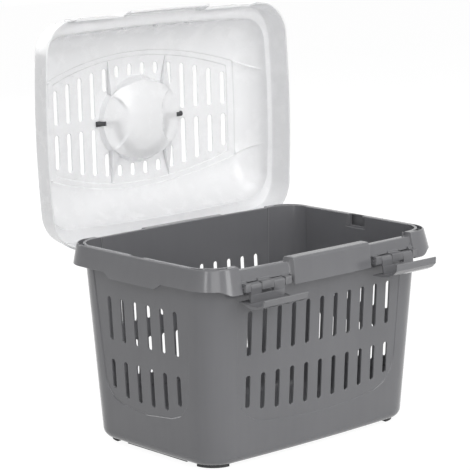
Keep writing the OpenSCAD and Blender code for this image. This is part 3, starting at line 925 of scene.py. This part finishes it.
tub_shell = make_piece("tub_shell", tub_sheet, to_place, tub_plastic, "base", wall=tub_wall)
tub_knuckles = make_piece("tub_knuckles", tub_details, to_place, tub_plastic, "base")
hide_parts("tub")

# %% [markdown]
# Latches
#
# A latch is a channel: two tongues hold it on its pin, its back wall hangs from them, its
# floor runs forward and its lip turns up. One section pulled along X makes the channel, and a
# low web closes each end. Both latches are drawn level and then turned to where they hang.

# %% Latches
latch_inner, latch_outer = 87, 169
web_width, web_inset, left_droop = 1.8, 0.05, 15


def latch_profile(radius, steps, points):
    """Rounds a profile of (outwards, up) distances from the pin and puts it in the YZ plane."""
    return [(latch_y - out, latch_z + up) for out, up in rounded(points, radius, steps)]


channel = latch_profile(1.0, 3, [
    (-3.6, -22.4), (3, -22), (17, -22), (27, -20.2), (36, -15.8), (42.6, -9.6), (43.3, -0.4),
    (41.2, 0), (40.6, -8), (34.6, -13.6), (26, -17.8), (17, -19.6), (4, -19.8), (-3.2, -20.8)])
web = latch_profile(0.8, 3, [
    (-3.4, -20.9), (-3.2, -22), (3, -21.8), (17, -21.8), (27, -20), (36, -15.6), (40.6, -10.8),
    (38.8, -9.8), (31, -14.4), (21, -17.4), (9, -19), (2, -20)])
plate = latch_profile(0.5, 3, [(4.8, -9), (7.4, -9), (9.6, -19.8), (7.2, -19.8), (6, -15)])
tongue = latch_profile(0.9, 2, [
    (-4.6, -4.4), (4.8, -9.4), (7.4, -9.4), (6.2, 0), (5, 3.6), (3.6, 5), (-3.6, 5), (-5, 3.6)])


def make_latch(name, side, droop):
    solids = bmesh.new()
    prism(solids, channel, latch_inner, latch_outer)
    for low, high in ((latch_inner, latch_inner + web_width), (latch_outer - web_width, latch_outer)):
        prism(solids, web, low + web_inset, high - web_inset)
    for low, high in knuckle_spans((1, 3)):
        sleeve(solids, tongue, (latch_y, latch_z), pin_bore, low, high)
    prism(solids, plate, knuckle_edges[1] + knuckle_gap, knuckle_edges[4] - knuckle_gap)
    if side < 0:
        solids.transform(Matrix.Scale(-1, 4, (1, 0, 0)))
    piece = make_piece(name + "_look", solids, turned_about(latch_axis, droop), latch_plastic, name,
                       edge=0.35)
    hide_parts(name)
    return piece


left_latch = make_latch("latch_left", -1, left_droop)
right_latch = make_latch("latch_right", 1, 0)
print("latches:", left_latch.name, right_latch.name)

# %% [markdown]
# The lid
#
# The lid is a second sheet, drawn shut and seen from inside, because that is the side that
# shows while it stands open. It climbs from the open edge to a shelf, turns in over the shelf,
# and arches up to a wide grille. Two raised bands like a lens frame the grille. The handle's
# dish hangs into the lid from the middle of the crown.

# %% Sizes of the lid
lid_wall = 2.4
lid_seat = 255.6
lid_depth = 33.4
lid_half = (236.1, 166.9)
lid_radius = 55
lid_taper = 5.3
lid_bow = 4
shelf_z = lid_seat + lid_depth
shelf_round, skirt_heights = 2.4, (18.4, 31)
root = (219, 140.5, 41)
crown_height, crown_radius = 85.7, 1150
dome_power = 1.8
dome_turns, dome_least = 14, 0.3
dome_start = 1.4
lens_end, lens_side, lens_fall, lens_long, lens_bow = 182.5, 103.5, 0.00088, 160, 1.2
crease_y, crease_height, crease_rise = 57.3, 2.6, 2.5
grille_end, grille_side, grille_fall = 171.5, 95.4, 0.00098
band_drop = 1.8
band_outer, band_inner = (0.994, 0.992), (1.006, 1.008)

notch_low, notch_high = 77.7, 174.3
notch_y = -161.0
notch_bottom, hinge_notch_bottom = 269.6, 272.1
hinge_notches = ((83, 97), (116, 141), (159, 170.6))

lid_long_stops = mirrored_stops(0, 13, 26, 39, 52, 64, 76.3, 77.9, 82.6, 83.4, 96.6, 97.4, 106, 115.6, 116.4,
                                128, 140.6, 141.4, 150, 158.6, 159.4, 170.2, 171, 174.1, 175.6)
lid_short_stops = mirrored_stops(0, 14, 29, 43, crease_y - 3, crease_y, crease_y + 3, 70, 84)


def crown(x):
    return lid_seat + crown_height - crown_radius + math.sqrt(crown_radius ** 2 - x * x)


def lens_edge(x):
    """Half the width of the lens at x."""
    return lens_side - lens_fall * x ** 2


def grille_edge(x):
    return grille_side - grille_fall * x ** 2


def lid_ring(depth, inset):
    t = depth / lid_depth
    shrink = lid_taper * t + inset
    return rounded_ring(lid_half[0] - shrink, lid_half[1] - shrink, lid_radius - 0.6 * lid_taper * t - inset,
                        lid_bow, lid_bow, lid_long_stops, lid_short_stops)


def in_notch(x, y):
    return y < -long_side_y and notch_low < abs(x) < notch_high


def skirt_points(depth, inset, z=None, follow_bottom=False):
    """Ring of the lid's skirt, set back behind the latches and cut out over the knuckles."""
    points = []
    for x, y in lid_ring(depth, lid_wall + inset):
        height = lid_seat + depth if z is None else z
        if in_notch(x, y):
            y = notch_y + inset
            height = max(height, notch_bottom)
        if follow_bottom and y > long_side_y and any(low < abs(x) < high for low, high in hinge_notches):
            height = hinge_notch_bottom
        points.append((x, y, height))
    return points


def root_ring(outset):
    return rounded_ring(root[0] + outset, root[1] + outset, root[2] + outset, lid_bow, lid_bow,
                        lid_long_stops, lid_short_stops)


def to_lens(x, y):
    """Place on the lens that a place on the shelf's inner edge rises to."""
    if abs(x) > short_side_x and abs(y) < crease_y + 0.5:
        return (math.copysign(lens_end + lens_bow * (1 - (y / crease_y) ** 2), x),
                y * lens_edge(lens_end) / crease_y)
    radius = root[2]
    straight_x, straight_y = root[0] - radius, root[1] - radius
    if abs(x) <= straight_x:
        across = x * lens_long / straight_x
    else:
        past = math.atan2(abs(y) - straight_y, abs(x) - straight_x)
        run = radius * (math.pi / 2 - max(past, 0)) + (straight_y - abs(y) if past <= 0 else 0)
        whole = radius * math.pi / 2 + straight_y - crease_y
        across = math.copysign(lens_long + (lens_end - lens_long) * run / whole, x)
    return across, math.copysign(lens_edge(across), y)


def to_grille(x, y):
    """Place on the inner edge of the band next to a place on the lens."""
    corner = lens_edge(lens_end)
    if abs(y) < corner + 0.01:
        return math.copysign(grille_end, x), y * grille_edge(grille_end) / corner
    across = x * grille_end / lens_end
    return across, math.copysign(grille_edge(across), y)


def soft_corners(points, end, corner, reach=8):
    """Rounds a ring near its four corners, which lie at x = end and y = corner, by averaging."""
    for _ in range(2):
        points = [((a[0] + 2 * b[0] + c[0]) / 4, (a[1] + 2 * b[1] + c[1]) / 4)
                  if abs(b[0]) > end - reach and abs(abs(b[1]) - corner) < reach else b
                  for a, b, c in zip(points[-1:] + points, points, points[1:] + points[:1])]
    return points


print("lid rings have", len(root_ring(0)), "points")

# %% [markdown]
# Dish of the handle
#
# Seen from above, the dish is a round bowl with an ear on each side, where the pegs of the
# handle turn. Its outline is a distance from the middle for every angle, the larger of bowl
# and ear, and its floor is a height over every place: a shallow cap, and on each ear a ramp
# that is blended into it. Rings that shrink towards the middle then carry the sheet over it.

# %% Dish of the handle
bowl_radius, bowl_edge_radius, bowl_edge_z = 66.0, 59.5, 327.5
bowl_z = 318.7
ear_centre, ear_radius, ear_draft, ear_z = 21.0, 57.5, 3.0, 330.3
ramp_start, ramp_run = 50, 22
dish_squash = 0.62
leaf_x, leaf_radius, leaf_blend, tip_blend, tip_reach = 75.0, 44.0, 2.4, 16, (6, 26)


def ear_reach(angle, draft=0.0):
    """Distance from the middle to the outline of the bowl and its two ears."""
    side = abs(math.cos(angle)) * ear_centre
    ear = side + math.sqrt((ear_radius - draft) ** 2 - (ear_centre * math.sin(angle)) ** 2)
    return max(ear, bowl_radius - draft * (bowl_radius - bowl_edge_radius) / ear_draft)


def dish_height(x, y):
    """Height of the dish: a shallow cap, with a ramp that runs down into it from each ear."""
    cap = min(ear_z, bowl_z + (bowl_edge_z - bowl_z) * math.hypot(x, y) ** 2 / bowl_edge_radius ** 2)
    ramp = ear_z + (cap - ear_z) * ease(ramp_start - abs(x), 0, ramp_run)
    inside = leaf_radius - math.hypot(abs(x) - leaf_x, y)
    blend = leaf_blend + tip_blend * (1 - ease(abs(y), *tip_reach))
    return cap + (max(ramp, cap) - cap) * ease(inside, -blend / 2, blend / 2)


def dish_angles(points):
    """Angles of the points, spread out, because the points crowd together near the lid's ends."""
    start = next(i for i, (x, y) in enumerate(points) if x > 0 and abs(y) < 1e-6)
    angles = []
    for i, (x, y) in enumerate(points):
        even = 2 * math.pi * (i - start) / len(points)
        angle = math.atan2(y, dish_squash * x)
        angle += 2 * math.pi * round((even - angle) / (2 * math.pi))
        angles.append((even + angle) / 2)
    return angles


def polar(angles, share):
    """Ring at a share of the way from the middle to the foot of the dish's wall."""
    ring = []
    for angle in angles:
        reach = ear_reach(angle, ear_draft) * share
        x, y = reach * math.cos(angle), reach * math.sin(angle)
        ring.append((x, y, dish_height(x, y)))
    return ring


print("dish is", round(2 * ear_reach(0)), "mm long and", round(2 * bowl_radius), "mm wide")

# %% [markdown]
# The lid's sheet, ring by ring
#
# The rings climb the skirt, turn in over the shelf and rise along the dome, whose section is a
# superellipse between the shelf and the lens. Four creases run down the dome's ends. The
# first band of the lens is a small step, the second leads into the grille, which is drawn
# flat at first: slots are easier to cut in a plane, and the crown's curve comes afterwards.

# %% Sheet of the lid
def is_flat(vert):
    """True for the points of the grille as long as it is drawn flat."""
    return abs(vert.co.z - top) < 1e-3


def flat_faces(sheet):
    return [face for face in sheet.faces if all(map(is_flat, face.verts))]


dish_shares = [1 - 0.024 * step for step in range(28)] + [0.3, 0.24, 0.17, 0.1]
lid_sheet = bmesh.new()
ring = extend_sheet(
    lid_sheet, start_sheet(lid_sheet, skirt_points(0, 0, follow_bottom=True)),
    skirt_points(skirt_heights[0], 0),
    *[skirt_points(skirt_heights[1], inset, shelf_z - drop)
      for inset, drop in quarter(shelf_round, (0, 30, 60, 90))],
    *[at_height(root_ring(outset), shelf_z + z) for outset, z in ((1.8, 0), (0.6, 0.35), (0, dome_start))])
foot_points = root_ring(0)
sharp_lens = [to_lens(x, y) for x, y in foot_points]
lens_points = soft_corners(sharp_lens, lens_end, lens_edge(lens_end))
on_crease = [abs(x) > short_side_x and abs(abs(y) - crease_y) < 1 for x, y in foot_points]
for step in range(1, dome_turns + 1):
    turn = math.pi / 2 * step / dome_turns
    ridge = crease_height * min(1, crease_rise * math.sin(turn))
    inward = 1 - max(0, math.cos(turn)) ** (2 / dome_power)
    upward = math.sin(turn) ** (2 / dome_power)
    lowest = shelf_z + dome_start + dome_least * step
    ring = extend_sheet(lid_sheet, ring, [
        (a + (c - a) * inward, b + (d - b) * inward,
         max(lowest, shelf_z + (crown(c) - 2 * band_drop - shelf_z) * upward) - ridge * creased)
        for (a, b), (c, d), creased in zip(foot_points, lens_points, on_crease)])
grille_points = soft_corners([to_grille(x, y) for x, y in sharp_lens], grille_end, grille_edge(grille_end))
top = crown(0)
angles = dish_angles(grille_points)
inner_points = [(ear_reach(a) * math.cos(a), ear_reach(a) * math.sin(a), top) for a in angles]
middle_points = [((a + c) / 2, (b + d) / 2) for (a, b), (c, d, _) in zip(grille_points, inner_points)]
ring = extend_sheet(
    lid_sheet, ring,
    *[[(x * wider, y * deeper, crown(x) - band_drop) for x, y in points]
      for points, (wider, deeper) in ((lens_points, band_outer), (grille_points, band_inner))],
    at_height(grille_points, top), at_height(middle_points, top), inner_points)
grille_faces = len(flat_faces(lid_sheet))
close_ring(lid_sheet, extend_sheet(lid_sheet, ring, *[polar(angles, share) for share in dish_shares]))
print("lid sheet:", len(lid_sheet.faces), "faces,", grille_faces, "of them in the grille")

# %% [markdown]
# Slots and windows of the lid
#
# Fourteen columns of slots leave the dish and its gussets free. When they are cut, every point
# that is still flat is lifted onto the crown. Two windows in the ears show the handle's pegs.

# %% Slots of the lid
lid_pitch, lid_slot_width = 25.4, 8.5
slot_starts = ((60, 66), (80, 47), (FAR, 7.5))
slot_far, slot_fall, slot_fall_at = 85, 27, 165
window_x, window_y = (69.5, 83.2), (-3.5, 3.5)
ear_zone_x, ear_zone_y = (55, 95), (-12, 12)
for column in range(-7, 7):
    x = (column + 0.5) * lid_pitch
    far = slot_far - slot_fall * (x / slot_fall_at) ** 2
    near = next(start for limit, start in slot_starts if abs(x) < limit)
    for side in (-1, 1):
        low, high = sorted((side * near, side * far))
        lid_sheet.normal_update()
        faces = [face for face in flat_faces(lid_sheet) if abs(face.normal.z) > 0.99]
        cut_slot(lid_sheet, faces, 0, 1, x, low, high, lid_slot_width, margin=1.5)
for vert in filter(is_flat, lid_sheet.verts):
    vert.co.z = crown(vert.co.x)
lid_sheet.normal_update()
for side in (-1, 1):
    window = between(lid_sheet.faces, 1, *ear_zone_y)
    window = between(window, 0, *sorted(side * x for x in ear_zone_x))
    window = strip(lid_sheet, window, 0, *sorted(side * x for x in window_x))
    window = strip(lid_sheet, window, 1, *window_y)
    bmesh.ops.delete(lid_sheet, geom=window, context="FACES")
bmesh.ops.recalc_face_normals(lid_sheet, faces=lid_sheet.faces)
middle_face = min(lid_sheet.faces, key=lambda face: abs(centre(face).x) + abs(centre(face).y))
if middle_face.normal.z > 0:
    bmesh.ops.reverse_faces(lid_sheet, faces=lid_sheet.faces)
print("lid sheet with slots:", len(lid_sheet.faces), "faces")

# %% [markdown]
# The lid's knuckles, catches and gussets
#
# The lid's own lumps are its two knuckles on each hinge, the catches that the latches hook
# over, four gussets that tie the dish to the band, and three small tabs under the front shelf.
# They are drawn shut as well, and the same matrix that opens the sheet opens them.

# %% Small parts of the lid
lid_details = bmesh.new()
lid_knuckle = about(hinge_y, hinge_z, [(-5, 5.5), (-5, -3), (-3, -5), (3, -5), (5, -3), (5, 3), (3, 5)], 2)
for low, high in knuckle_spans((1, 3)):
    sleeve(lid_details, lid_knuckle, (hinge_y, hinge_z), pin_bore, low, high)
catch = box_profile(-163.3, -159.9, 285, 300.6, 0.8)
prism(lid_details, catch, 84.6, 166.6)
gusset_top = [(57, 91.5, 337.5), (44.9, 47.9, 330.8), (58, 38.5, 330.8)]
gusset_foot = [(57, 92.8, 342), (46.3, 50.6, 342), (59, 41.5, 342)]
for sign in (-1, 1):
    solid_between(lid_details, *([(x, y * sign, z) for x, y, z in points]
                                 for points in (gusset_top, gusset_foot)))
tab = rounded([(-144.4, 290.2), (-143.4, 296), (-141.4, 296), (-140.2, 290), (-140.4, 286.6),
               (-142.3, 286.6), (-142.5, 289.2)], 0.6)
prism(lid_details, tab, 60.4, 65)
mirrored_copy(lid_details)
prism(lid_details, tab, -2.2, 2.4)
lid_shell = make_piece("lid_shell", lid_sheet, to_open, lid_plastic, "lid", wall=lid_wall)
lid_lumps = make_piece("lid_details", lid_details, to_open, lid_plastic, "lid")
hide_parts("lid")

# %% [markdown]
# Parts that stay, and their finishes
#
# The handle, the feet and the pins are right as they come from the CAD model, so they only get
# a better finish, through the material slots of their objects.

# %% Finishes and slots
for start_of_name, material in (("carry_handle", handle_plastic), ("foot_", foot_rubber),
                                ("latch_pin_", pin_steel), ("lid_hinge_pin_", pin_steel)):
    for name, node in frame["nodes"].items():
        if name.startswith(start_of_name):
            node.material_slots[0].material = material
